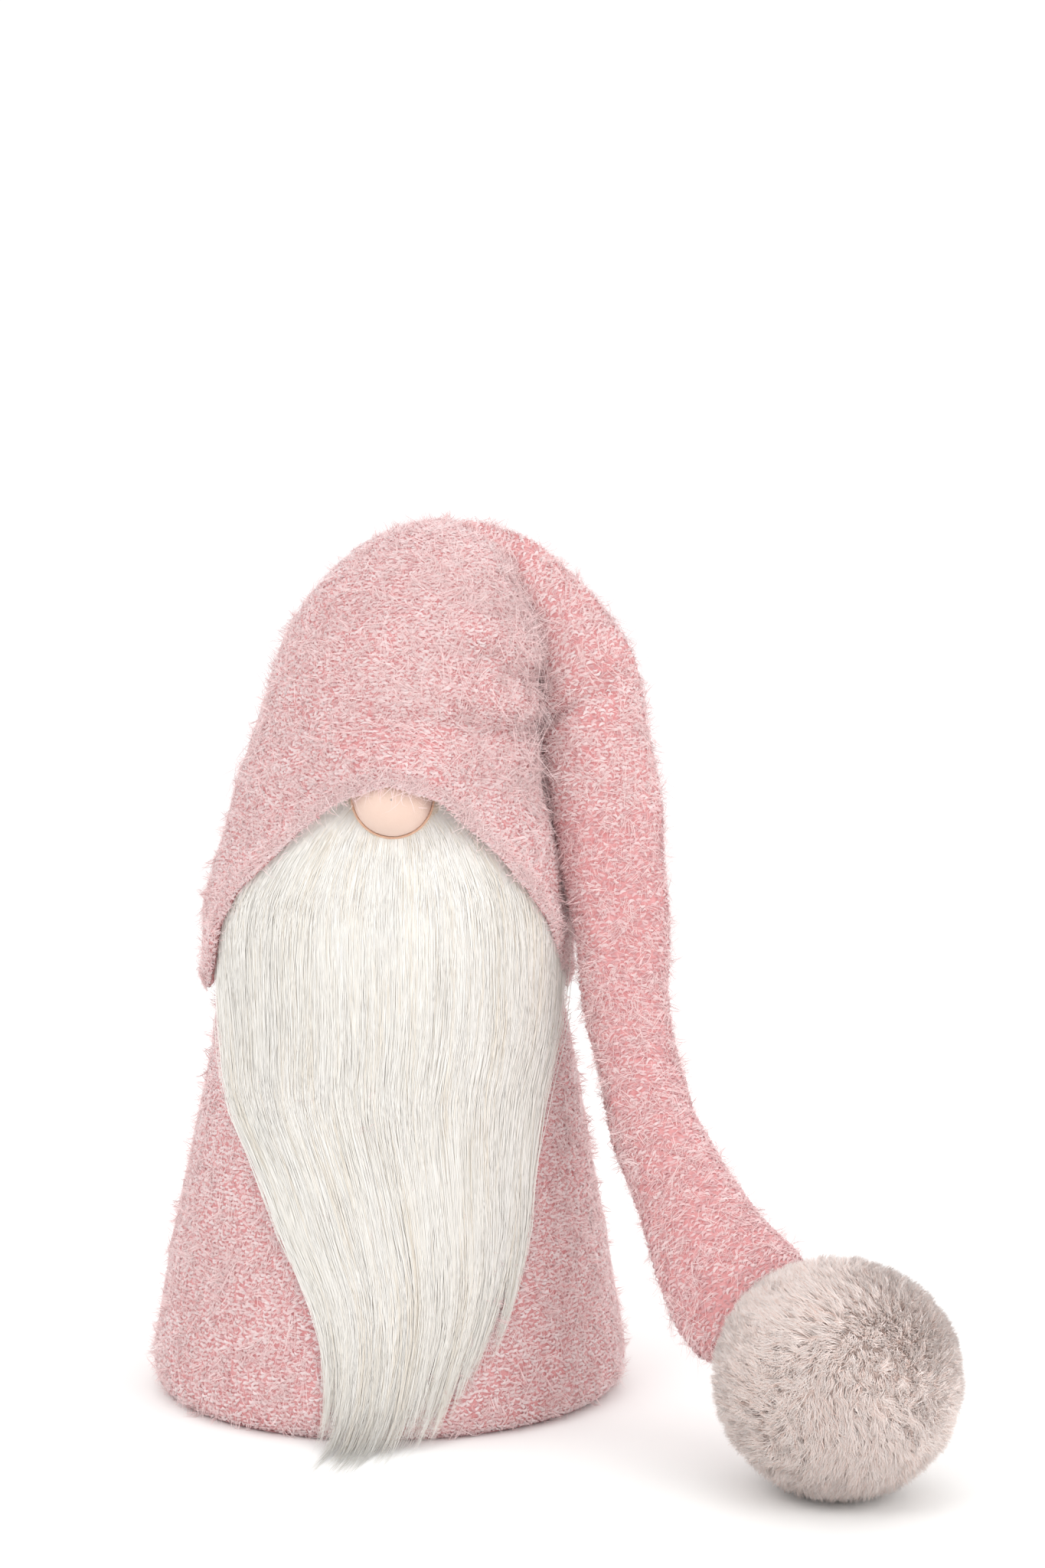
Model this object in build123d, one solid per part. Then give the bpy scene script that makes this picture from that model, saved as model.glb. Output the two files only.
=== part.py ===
from build123d import *
import os

# Tall soft gnome, in millimetres, +Z up. The origin is the centre of the base's underside.
# The gnome faces -Y. Its cap's tail hangs on the +X side and runs forward to a pompom.

# ---- driving dimensions ----
GAP = 0.3                # clearance between neighbouring pieces
KNIT = 3.0               # thickness of the brushed knit
CLOTH = 1.2              # thickness of plain cloth and fur backing
BODY_TOP = 300.0         # where the knit body cover ends under the cap
HAT_BOTTOM = 276.0       # lowest edge of the cap
BASE_RADIUS = 158.0
BOARD_THICK = 2.5
PANEL_THICK = 2.5
WEIGHT_RADIUS = 118.0
WEIGHT_HEIGHT = 34.0
PILE = 7.0               # beard fur under and near the brim
FALL_PILE = 13.0         # beard fur where it hangs free
NOSE = Vector(7, -101, 411)
NOSE_RADIUS = 26.0
POMPOM = Vector(282, -258, 72)
POMPOM_RADIUS = 77.0
POMPOM_FLAT = 0.935      # height of the pompom over its width
THREAD = 0.8             # radius of a seam's thread
SEAM_OFF_BODY = 0.7      # how far a seam's thread stands off the body cover
SEAM_OFF_HAT = 2.4       # how far it stands off the cap, whose sides bulge between sections
WEIGHT_FILLET = 10.0
WEIGHT_NECK = 9.0        # radius of the bag's tied neck
POCKET = Vector(7, -84, 430)         # bulge of the cap over the nose
POCKET_RADIUS = 48.0
NOSE_SEAM_BACK = 4.0     # the nose's thread lies this far in front of the nose's middle
POMPOM_PILE = 15.0
TIE_START = 58.0         # from the pompom's middle to the sunk end of the tie's hole
TIE_HOLE = 4.5
TIE_RADIUS = 3.5
TIE_LENGTH = 15.0
FLOOR = 1.0              # the beard's underside
BEARD_FRONT = -220.0     # nothing of the beard or the cap's opening reaches further forward
BEARD_BACK = -40.0
WIDE = 200.0             # half width of the cutting blocks
TALL = 600.0             # above the whole gnome

# Height and radius of the stuffed body and head, outside the cover.
BODY_SHAPE = [(0, 157), (16, 160.5), (50, 156.5), (100, 148.5), (160, 135.5), (225, 122.5),
              (288, 113), (342, 110), (382, 103), (413, 96), (443, 88), (471, 82), (497, 77),
              (518, 70), (545, 54), (562, 26)]
# Height and radius of the cap's outside.
HAT_SHAPE = [(276, 123), (300, 126.5), (330, 127.2), (360, 121), (382, 115), (413, 108),
             (443, 99.5), (471, 94), (497, 89.5), (518, 84), (550, 69), (570, 49), (588, 24)]
# The head and the cap lean to the +X side as they rise: height and shift.
LEAN = [(0, 0), (342, 0), (382, 4), (413, 6.5), (443, 10), (471, 13), (497, 16), (518, 19),
        (550, 26), (600, 36)]
# The cap's front opening, seen from the front: an arch over the beard and nose (x, z).
BRIM = [(-121, 262), (-116, 293), (-111, 326), (-96, 352), (-54, 392), (-28, 411), (6, 424),
        (34, 413), (74, 377), (95, 351), (111, 326), (118, 299), (122, 262)]
# Outline of the beard's upper part, under the brim and round the nose (x, z), from left to right.
BEARD_TOP = [(-114, 250), (-113, 300), (-104, 338), (-62, 388), (-28, 412), (6, 420), (34, 412),
             (70, 386), (104, 346), (119, 300), (119, 250)]
# Outline of the beard's fall below the brim, seen from the front (x, z), from left to right.
BEARD = [(-112, 330), (-111, 250), (-103, 208), (-73, 160), (-60, 118), (-32, 76), (-27, 30),
         (-34, 1), (28, 1), (40, 40), (62, 84), (88, 120), (96, 160), (104, 208), (114, 250),
         (118, 330)]
# Centre line of the tail with the half width across and the half depth of each section.
TAIL = [((52, 0, 566), 26, 22), ((84, -4, 558), 27, 20), ((118, -10, 524), 31, 20),
        ((137, -16, 488), 32, 19), ((144, -24, 440), 33, 19), ((152, -34, 392), 31, 19),
        ((157, -46, 340), 29, 19), ((158, -60, 281), 28, 19), ((165, -84, 238), 26, 19),
        ((176, -116, 198), 26, 19), ((193, -154, 162), 30, 19), ((212, -190, 130), 38, 18),
        ((232, -222, 104), 45, 16)]
TAIL_BEND = 7            # index of the section where the tail bends
# Where the beard's longest locks lie on the floor (x, z), between these two depths.
FLOOR_TIPS = [(-34, 1), (26, 1), (22, 11), (-30, 11)]
FLOOR_TIPS_FRONT = -207.0
FLOOR_TIPS_BACK = -160.0

# The beard lifts about a level axis along X through this point.
BEARD_PIVOT_Y = -60.0
BEARD_PIVOT_Z = 330.0
BEARD_SPLIT = 74.0       # radius of the round split between the beard's top and its fall

os.makedirs("parts", exist_ok=True)


def save(shape, node):
    """Writes one node's solid."""
    export_step(shape, "parts/" + node + ".step")


def between(table, height):
    """Value of a (height, value) table at a height, on straight lines."""
    for (low, at_low), (high, at_high) in zip(table, table[1:]):
        if low <= height <= high:
            return at_low + (at_high - at_low) * (height - low) / (high - low)
    return table[-1][1]


def round_loft(shape, grow=0.0, bottom=None, top=None):
    """Solid through level circles of a (height, radius) table, each grown by the same amount."""
    low = shape[0][0] if bottom is None else bottom
    high = shape[-1][0] if top is None else top
    heights = [low] + [z for z, _ in shape if low + 4 < z < high - 4] + [high]
    rings = []
    for z in heights:
        place = Pos(between(LEAN, z), 0, z)
        rings.append(place * Circle(between(shape, z) + grow))
    return loft(rings)


def prism(points, front, back, curved=False):
    """Solid between two Y planes whose front view is the closed outline through (x, z) points."""
    corners = [(x, front, z) for x, z in points]
    if curved:
        edges = Wire([Spline(*corners), Line(corners[-1], corners[0])])
    else:
        edges = Polyline(*corners, close=True)
    return extrude(make_face(edges), amount=back - front, dir=(0, 1, 0))


def block(low, high):
    """Box between two corners."""
    size = Vector(*high) - Vector(*low)
    return Pos(*low) * Box(*size, align=(Align.MIN, Align.MIN, Align.MIN))


def ball(centre, radius, flat=1.0):
    """Ball, or a ball flattened along Z, by turning half an ellipse about its own axis."""
    half = Ellipse(radius, radius * flat) & (Pos(radius, 0) * Rectangle(2 * radius, 4 * radius))
    upright = Plane.XZ * half
    return Pos(centre.X, centre.Y, centre.Z) * revolve(upright, Axis.Z)


def largest(shape):
    """The biggest solid of a cut, without its crumbs."""
    return max(shape.solids(), key=lambda solid: solid.volume)


# ---- stuffed body and head ----
body_outside = round_loft(BODY_SHAPE)
body_inside = round_loft(BODY_SHAPE, grow=-KNIT)
below_top = block((-WIDE, -WIDE, 0), (WIDE, WIDE, BODY_TOP))
above_top = block((-WIDE, -WIDE, BODY_TOP + GAP), (WIDE, WIDE, TALL))
inner_clear = PANEL_THICK + BOARD_THICK + 2 * GAP

save((body_outside & below_top) - body_inside, "body_cover")
head_inside = round_loft(BODY_SHAPE, grow=-CLOTH, top=BODY_SHAPE[-1][0] - CLOTH)
save(largest((body_outside & above_top) - head_inside), "head_cover")

panel_radius = BASE_RADIUS - KNIT - 4
save(extrude(Circle(panel_radius), PANEL_THICK), "base_panel")
board = Pos(0, 0, PANEL_THICK + GAP) * extrude(Circle(panel_radius - 2), BOARD_THICK)
save(board, "base_board")

weight_outside = Pos(0, 0, inner_clear) * extrude(Circle(WEIGHT_RADIUS), WEIGHT_HEIGHT)
weight_outside = fillet(weight_outside.edges(), WEIGHT_FILLET)
granules = Pos(0, 0, inner_clear + CLOTH) * extrude(
    Circle(WEIGHT_RADIUS - CLOTH), WEIGHT_HEIGHT - 2 * CLOTH)
granules = fillet(granules.edges(), WEIGHT_FILLET - CLOTH)
weight_neck = Pos(0, 0, inner_clear + WEIGHT_HEIGHT - 3) * Cylinder(WEIGHT_NECK, 8)
save(weight_outside - granules - weight_neck, "weight_bag")
save(granules - weight_neck, "weight_granules")

stuffing_zone = block((-WIDE, -WIDE, inner_clear + GAP), (WIDE, WIDE, TALL))
stuffing = round_loft(BODY_SHAPE, grow=-KNIT - GAP, top=BODY_SHAPE[-1][0] - KNIT) & stuffing_zone
weight_room = Pos(0, 0, inner_clear) * extrude(Circle(WEIGHT_RADIUS + GAP), WEIGHT_HEIGHT + GAP)
save(largest(stuffing - weight_room), "body_filling")

# ---- seams: a thread down the back and one round the base ----
seam_off = THREAD + SEAM_OFF_BODY
back_line = [(0, between(BODY_SHAPE, z) + seam_off, z) for z in (20, 90, 160, 225, 268)]
back_path = Spline(*back_line)
back_seam = sweep(Plane(origin=back_path @ 0, z_dir=back_path % 0) * Circle(THREAD), back_path)
save(back_seam, "body_back_seam")
save(Pos(0, 0, THREAD + GAP) * Torus(panel_radius + THREAD + GAP, THREAD), "base_seam")

# ---- nose ----
nose_ball = ball(NOSE, NOSE_RADIUS)
nose_core = ball(NOSE, NOSE_RADIUS - CLOTH)
head_clear = round_loft(BODY_SHAPE, grow=GAP, bottom=BODY_TOP)
nose_whole = largest(nose_ball - head_clear)
save(largest(nose_core - head_clear), "nose_filling")
save(largest(nose_whole - nose_core), "nose_cover")
ring_place = Pos(NOSE.X, NOSE.Y - NOSE_SEAM_BACK, NOSE.Z) * Rot(90, 0, 0)
ring = ring_place * Torus(NOSE_RADIUS + THREAD - 0.2, THREAD)
save(ring - nose_ball, "nose_thread")
nose_room = Pos(NOSE.X, NOSE.Y - 2, NOSE.Z) * Rot(90, 0, 0) * Cylinder(NOSE_RADIUS + 2.5, 46)

# ---- beard: a fur panel wrapped on the front, split by a round cut about its lift axis ----
beard_high = NOSE.Z + 29
front_half = block((-WIDE, BEARD_FRONT, FLOOR), (WIDE, BEARD_BACK, beard_high))
split = Pos(0, BEARD_PIVOT_Y, BEARD_PIVOT_Z) * Rot(0, 90, 0)
inside_split = split * Cylinder(BEARD_SPLIT - GAP, 300)
outside_split = front_half - split * Cylinder(BEARD_SPLIT + GAP, 300)
above_split = block((-WIDE, BEARD_FRONT, BEARD_PIVOT_Z), (WIDE, BEARD_BACK, beard_high))
skin = round_loft(BODY_SHAPE, grow=GAP)
backing_skin = round_loft(BODY_SHAPE, grow=GAP + CLOTH)
pile_start = round_loft(BODY_SHAPE, grow=2 * GAP + CLOTH)
top_zone = prism(BEARD_TOP, BEARD_FRONT, BEARD_BACK) & (inside_split + above_split)
top_pile_skin = round_loft(BODY_SHAPE, grow=PILE)
save(largest(((backing_skin - skin) & top_zone) - nose_room), "beard_top_backing")
save(largest(((top_pile_skin - pile_start) & top_zone) - nose_room), "beard_top_fur")

below_arch = block((-WIDE, BEARD_FRONT, FLOOR), (WIDE, BEARD_BACK, BEARD_PIVOT_Z - 20))
fall_zone = prism(BEARD, BEARD_FRONT, BEARD_BACK) & outside_split & below_arch
save(largest((backing_skin - skin) & fall_zone), "beard_fall_backing")
fall_skin = round_loft([(z, r + PILE + (FALL_PILE - PILE) * min(1, max(0, (300 - z) / 90)))
                        for z, r in BODY_SHAPE if z < 400])
floor_tips = prism(FLOOR_TIPS, FLOOR_TIPS_FRONT, FLOOR_TIPS_BACK)
fall_fur = ((fall_skin - pile_start) & fall_zone) + (floor_tips - round_loft(BODY_SHAPE, grow=8))
save(largest(fall_fur), "beard_fall_fur")

# ---- cap: a hollow knit shell with a pocket over the nose and an arched front ----
hat_outside = round_loft(HAT_SHAPE) + Pos(*POCKET) * Sphere(POCKET_RADIUS)
hat_inside = round_loft(HAT_SHAPE, grow=-KNIT, top=HAT_SHAPE[-1][0] - KNIT)
hat_inside = hat_inside + Pos(*POCKET) * Sphere(POCKET_RADIUS - KNIT)
front_opening = prism(BRIM, BEARD_FRONT, BEARD_BACK + 10, curved=True)
save(largest(hat_outside - hat_inside - front_opening), "hat_shell")

seam_off = THREAD + SEAM_OFF_HAT
hat_back = [(between(LEAN, z), between(HAT_SHAPE, z) + seam_off, z)
            for z in (284, 330, 382, 443, 497, 550)]
hat_path = Spline(*hat_back)
hat_seam = sweep(Plane(origin=hat_path @ 0, z_dir=hat_path % 0) * Circle(THREAD), hat_path)
save(hat_seam, "hat_back_seam")


# ---- tail: flattened knit tube from the crown's fold to the pompom ----
def tail_loft(first, last):
    """Solid through the tail's sections, each square to the centre line."""
    rings = []
    for index in range(first, last + 1):
        centre, across, deep = TAIL[index]
        before = Vector(*TAIL[max(index - 1, 0)][0])
        after = Vector(*TAIL[min(index + 1, len(TAIL) - 1)][0])
        along = (after - before).normalized()
        side = Vector(0, 1, 0).cross(along).normalized()
        rings.append(Plane(origin=centre, x_dir=side, z_dir=along) * Ellipse(across, deep))
    return loft(rings)


bend_z = TAIL[TAIL_BEND][0][2]
hat_clear = round_loft(HAT_SHAPE, grow=1.0) + Pos(*POCKET) * Sphere(POCKET_RADIUS + 1)
crown_edge = 62
right_side = block((crown_edge, -WIDE, bend_z + GAP), (2 * WIDE, WIDE, TALL))
save(largest((tail_loft(0, TAIL_BEND + 1) & right_side) - hat_clear), "tail_upper")
below_bend = block((crown_edge, -2 * WIDE, 0), (2 * WIDE, WIDE, bend_z - GAP))
pompom_clear = ball(POMPOM, POMPOM_RADIUS + 0.8, POMPOM_FLAT)
save(largest((tail_loft(TAIL_BEND - 1, len(TAIL) - 1) & below_bend) - pompom_clear), "tail_lower")

# ---- pompom: fur on a cloth backing over a filling, tied to the tail's end ----
tail_end = Vector(*TAIL[-1][0])
tie_way = (tail_end - POMPOM).normalized()
hole_plane = Plane(origin=POMPOM + tie_way * TIE_START, z_dir=tie_way)
tie_hole = hole_plane * extrude(Circle(TIE_HOLE), 2 * TIE_LENGTH)
skin_radius = POMPOM_RADIUS - POMPOM_PILE
fur_back = ball(POMPOM, skin_radius, POMPOM_FLAT)
cloth_back = ball(POMPOM, skin_radius - CLOTH, POMPOM_FLAT)
save(ball(POMPOM, POMPOM_RADIUS, POMPOM_FLAT) - fur_back - tie_hole, "pompom_fur")
backing = ball(POMPOM, skin_radius - GAP, POMPOM_FLAT)
save(backing - cloth_back - tie_hole, "pompom_backing")
save(ball(POMPOM, skin_radius - 1 - CLOTH, POMPOM_FLAT) - tie_hole, "pompom_filling")
tie_plane = Plane(origin=POMPOM + tie_way * (TIE_START + 2), z_dir=tie_way)
save(tie_plane * extrude(Circle(TIE_RADIUS), TIE_LENGTH), "pompom_tie")
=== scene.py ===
import math

import bpy
import numpy as np
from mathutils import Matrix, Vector


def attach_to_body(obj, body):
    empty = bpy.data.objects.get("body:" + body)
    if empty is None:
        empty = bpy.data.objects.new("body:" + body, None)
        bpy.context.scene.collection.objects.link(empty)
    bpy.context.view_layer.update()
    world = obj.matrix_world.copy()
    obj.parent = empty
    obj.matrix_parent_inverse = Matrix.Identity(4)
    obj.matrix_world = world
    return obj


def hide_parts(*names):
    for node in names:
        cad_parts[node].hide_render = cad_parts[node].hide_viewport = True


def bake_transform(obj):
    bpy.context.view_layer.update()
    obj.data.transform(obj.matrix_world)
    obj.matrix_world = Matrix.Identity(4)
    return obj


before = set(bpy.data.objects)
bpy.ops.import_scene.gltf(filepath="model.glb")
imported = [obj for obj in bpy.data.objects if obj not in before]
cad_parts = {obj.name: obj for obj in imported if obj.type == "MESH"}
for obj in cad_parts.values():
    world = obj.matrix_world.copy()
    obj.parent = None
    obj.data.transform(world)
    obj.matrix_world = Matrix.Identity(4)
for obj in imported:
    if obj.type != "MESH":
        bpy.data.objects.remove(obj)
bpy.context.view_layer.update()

# The gnome's looks, built round the CAD frame. Lengths below are millimetres, turned to metres when a
# mesh is made. The gnome faces -Y, and its cap's tail hangs on the +X side.
MM = 0.001
RNG = np.random.default_rng(1225)

# ---------------------------------------------------------------- shapes shared with the CAD model
# Outside of the body cover, from under the base to under the cap: (radius, height).
BODY_LINE = [(140, 1.5), (150, 1.2), (156, 3.5), (159.5, 9), (160.5, 18), (159.6, 32), (156.5, 50),
             (152.7, 75), (148.5, 100), (142, 130), (135.5, 160), (129, 192), (122.5, 225),
             (117, 260), (112.5, 288), (111, 303)]
# Outside of the head's cloth dome.
HEAD_LINE = [(112.4, 296), (110, 342), (103, 382), (96, 413), (88, 443), (82, 471), (77, 497),
             (70.5, 520), (60, 540), (53, 550), (43.5, 560), (30, 564), (15, 566), (1, 566.5)]
# Outside of the cap, from its lowest edge to the crown.
HAT_LINE = [(123, 276), (126, 300), (127, 328), (121.5, 358), (115, 382), (108, 413), (100, 443),
            (94.5, 471), (90, 497), (84, 518), (76, 536), (66, 553), (52, 568.5), (34, 581),
            (17, 587.5), (1, 589.5)]
LEAN = [(0, 0), (342, 0), (382, 4), (413, 6.5), (443, 10), (471, 13), (497, 16), (518, 19),
        (550, 26), (600, 36)]
# Front edge of the cap, seen from the front: (x, z).
BRIM = [(-124, 277), (-119, 284), (-116, 293), (-111, 326), (-96, 352), (-54, 392), (-28, 411),
        (6, 424), (34, 413), (74, 377), (95, 351), (111, 326), (118, 299), (120, 286), (125, 277)]
# Edges of the beard by height: (height, left x, right x).
BEARD_EDGES = [(424, -14, 28), (412, -34, 48), (398, -58, 70), (380, -82, 92), (352, -105, 112),
               (325, -113, 118), (290, -112, 118), (250, -108, 114), (224, -106, 106),
               (205, -101, 102), (182, -88, 99), (160, -76, 96), (131, -65, 95), (103, -50, 90),
               (75, -40, 82), (46, -36, 70), (10, -38, 56), (-60, -56, 36)]
# Soft folds of the cap's front, seen from the front: from (x, z) to (x, z), width, height.
HAT_FOLDS = [((24, 524), (90, 502), 9, 3.5), ((30, 507), (95, 482), 8, -6),
             ((16, 486), (94, 464), 10, 6), ((-24, 464), (95, 450), 8, -6.5),
             ((-44, 444), (94, 432), 12, 4.5), ((56, 440), (100, 408), 9, -3.5),
             ((-90, 404), (-30, 448), 12, 3.5), ((-100, 424), (-60, 470), 10, -3.5),
             ((56, 566), (88, 520), 8, -4), ((-60, 520), (0, 548), 10, -3)]
# The same for the cap's back.
HAT_BACK_FOLDS = [((-80, 430), (40, 400), 14, 4.5), ((-70, 408), (60, 376), 10, -4),
                  ((0, 500), (80, 470), 12, 3)]
# Knit pieces of the tail laid flat, in metres: width and length.
TAIL_TOP_FLAT = (0.165, 0.215)
TAIL_END_FLAT = (0.165, 0.39)
EDGE_ROLL = 3.2          # half the thickness of the cap's rolled edge
EDGE_RADIUS = 135.0      # radius that the stitches of that edge are counted on
EDGE_STITCH = 3.0        # spacing of those stitches
PINCH = 9.0              # depth of the groove in the cap's side where the tail comes off it
NOSE = np.array([7.0, -101.0, 411.0])
NOSE_RADIUS = 26.0
POMPOM = np.array([282.0, -258.0, 72.0])
POMPOM_RADIUS = 77.0
POMPOM_FLAT = 0.935
# Centre line of the tail: point, half width across, half depth.
TAIL = [((26, 0, 550), 22, 22), ((54, 0, 565), 25, 24), ((86, -3, 553), 27, 22),
        ((115, -8, 522), 30, 20), ((135, -13, 487), 33, 19), ((141, -20, 440), 36, 20),
        ((147, -30, 392), 37, 20), ((154, -43, 340), 33, 19), ((158, -60, 281), 28, 19),
        ((165, -84, 238), 26, 19), ((176, -116, 198), 27, 19), ((193, -154, 162), 31, 19),
        ((211, -189, 131), 38, 18), ((224, -211, 112), 44, 16), ((233, -223, 102), 43, 13),
        ((239, -230, 96), 33, 9)]
TAIL_SPLIT = 6           # section where the tail's two pieces of knit meet
STITCH_WIDE = 3.45
STITCH_HIGH = 2.85
FLOOR_CLEAR = 0.6        # lowest height of loose hair
BEARD_TOP = 430.0        # height where the beard's fall begins
BEARD_SLOPE = 0.985      # drop in height for each step down the beard's surface
FLOOR_BEND = 14.0        # height where the beard turns forward along the floor
UNDERFUR_END = 325.0     # how far down the beard the dense under-fur reaches
WISP_LONG = 120.0        # how far above the tips the hair draws together into wisps
# Most items in one piece, so that none has more than 200,000 triangles.
MAX_STITCHES = 7800      # 24 triangles each
MAX_BUNCHES = 6000       # 6 hairs of 5 triangles each
MAX_LONG_HAIRS = 8000    # 15 triangles each
MAX_SPIKES = 18000       # 9 triangles each


# ---------------------------------------------------------------- small numeric helpers
def unit(v):
    """Vectors of length one, along the last axis."""
    return v / np.maximum(np.linalg.norm(v, axis=-1, keepdims=True), 1e-9)


def rounded(points, blur):
    """Points of a line, resampled every millimetre and softened, with the ends kept."""
    points = np.array(points, float)
    gone = np.concatenate([[0], np.cumsum(np.linalg.norm(np.diff(points, axis=0), axis=1))])
    at = np.linspace(0, gone[-1], max(int(gone[-1]), 8))
    fine = np.stack([np.interp(at, gone, points[:, i]) for i in range(points.shape[1])], axis=1)
    window = np.hanning(2 * blur + 3)[1:-1]
    window /= window.sum()
    head = 2 * fine[0] - fine[blur:0:-1]
    tail = 2 * fine[-1] - fine[-2:-blur - 2:-1]
    long = np.concatenate([head, fine, tail])
    return np.stack([np.convolve(long[:, i], window, "valid") for i in range(fine.shape[1])], axis=1)


class Line:
    """A softened line that can be read by its distance along."""

    def __init__(self, points, blur=9):
        self.points = rounded(points, blur)
        steps = np.linalg.norm(np.diff(self.points[:, :3], axis=0), axis=1)
        self.gone = np.concatenate([[0], np.cumsum(steps)])
        self.length = self.gone[-1]

    def __call__(self, distance):
        columns = [np.interp(distance, self.gone, self.points[:, i])
                   for i in range(self.points.shape[1])]
        return np.stack(columns, axis=-1)


def table(rows, column=1):
    """Reads one column of a table by its first column, on softened lines."""
    samples, reach = 400, 7
    rows = sorted(rows)
    keys = np.array([r[0] for r in rows], float)
    values = np.array([r[column] for r in rows], float)
    at = np.linspace(keys[0], keys[-1], samples)
    window = np.hanning(2 * reach + 1)
    window /= window.sum()
    padded = np.pad(np.interp(at, keys, values), reach, mode="edge")
    smooth = np.convolve(padded, window, "valid")
    return lambda z: np.interp(z, at, smooth)


def ripple(a, b, seed, low=0.02, high=0.09):
    """A soft, repeatable unevenness of about -1 to 1 over two lengths in millimetres."""
    waves = 7
    draw = np.random.default_rng(seed)
    total = np.zeros(np.broadcast(a, b).shape)
    for _ in range(waves):
        turn = draw.uniform(0, 2 * math.pi)
        pace = draw.uniform(low, high)
        total = total + np.sin(pace * (a * math.cos(turn) + b * math.sin(turn))
                               + draw.uniform(0, 2 * math.pi))
    return total / math.sqrt(waves)


lean_at = table(LEAN)
body_line, head_line, hat_line = Line(BODY_LINE, blur=4), Line(HEAD_LINE), Line(HAT_LINE)
body_radius = table([(z, r) for r, z in BODY_LINE[4:]] + [(z, r) for r, z in HEAD_LINE[1:8]])
hat_radius = table([(z, r) for r, z in HAT_LINE])
brim_at = table(BRIM)
beard_left, beard_right = table(BEARD_EDGES, 1), table(BEARD_EDGES, 2)


def bump_over(x, z, centre_x, centre_z, wide, high):
    """A soft swelling of height one about a centre."""
    return np.exp(-((x - centre_x) / wide) ** 2 - ((z - centre_z) / high) ** 2)


def fold_along(a, b, start, end, width):
    """A soft ridge of height one along the line from start to end, fading at its ends."""
    start, end = np.array(start, float), np.array(end, float)
    way = end - start
    share = ((a - start[0]) * way[0] + (b - start[1]) * way[1]) / (way @ way)
    near = np.clip(share, 0, 1)
    off = np.hypot(a - start[0] - near * way[0], b - start[1] - near * way[1])
    fade = np.clip(share / 0.25 + 0.6, 0, 1) * np.clip((1 - share) / 0.25 + 0.6, 0, 1)
    return np.exp(-(off / width) ** 2) * fade


# ---------------------------------------------------------------- the knitted surfaces
def body_at(turn, along):
    """Point of the body cover: turn in radians, along its line from under the base."""
    radius, height = np.moveaxis(body_line(along), -1, 0)
    swell = 1.3 * ripple(150 * np.cos(turn), height + 40 * np.sin(turn), 3)
    swell = swell * np.clip(height / 30, 0, 1)
    x = (radius + swell) * np.cos(turn) + lean_at(height)
    return np.stack([x, (radius + swell) * np.sin(turn), height], axis=-1)


def head_at(turn, along):
    """Point of the head's cloth dome."""
    radius, height = np.moveaxis(head_line(along), -1, 0)
    return np.stack([radius * np.cos(turn) + lean_at(height), radius * np.sin(turn), height], -1)


def brim_height(turn):
    """Height of the cap's edge at each angle: an arch in front, nearly level behind."""
    height = np.full(np.shape(turn), 300.0)
    for _ in range(40):
        x = lean_at(height) + hat_radius(height) * np.cos(turn)
        height = 0.6 * height + 0.4 * brim_at(np.clip(x, BRIM[0][0], BRIM[-1][0]))
    level = 277 + 1.6 * np.sin(3 * turn + 1) + 1.2 * np.sin(5 * turn)
    front = np.clip(-np.sin(turn) / 0.3, 0, 1)
    return level + (height - level) * front


def hat_swell(turn, height):
    """What the cap's folds and the nose under it add to its radius."""
    x = hat_radius(height) * np.cos(turn)
    front = np.clip(-np.sin(turn) * 1.6, 0, 1)
    back = np.clip(np.sin(turn) * 1.6, 0, 1)
    swell = 1.6 * ripple(120 * np.cos(turn), height + 60 * np.sin(turn), 11, low=0.02, high=0.06)
    swell = swell + 24 * bump_over(x, height, 7, 426, 38, 40) * front
    for start, end, width, high in HAT_FOLDS:
        swell = swell + high * front * fold_along(x, height, start, end, width)
    beside = np.angle(np.exp(1j * (turn + 0.16)))
    swell = swell - PINCH * np.exp(-(beside / 0.26) ** 2 - ((height - 428) / 46) ** 2)
    for start, end, width, high in HAT_BACK_FOLDS:
        swell = swell + high * back * fold_along(x, height, start, end, width)
    return swell * np.clip((590 - height) / 40, 0, 1)


def hat_at(turn, along):
    """Point of the cap's outside: along its line from its lowest edge to the crown."""
    radius, height = np.moveaxis(hat_line(along), -1, 0)
    edge = brim_height(turn)
    flare = 2.6 * np.exp(-((height - edge - 9) / 9) ** 2)
    radius = radius + hat_swell(turn, height) + flare
    return np.stack([radius * np.cos(turn) + lean_at(height), radius * np.sin(turn), height], -1)


hat_heights = hat_line.points[:, 1]


def hat_along(height):
    """Distance along the cap's line at a height."""
    return np.interp(height, hat_heights, hat_line.gone)


tail_line = Line([(*p, a, d) for p, a, d in TAIL], blur=11)
tail_marks = [tail_line.gone[np.argmin(np.linalg.norm(tail_line.points[:, :3] - np.array(p), axis=1))]
              for p, _, _ in TAIL]


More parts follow.
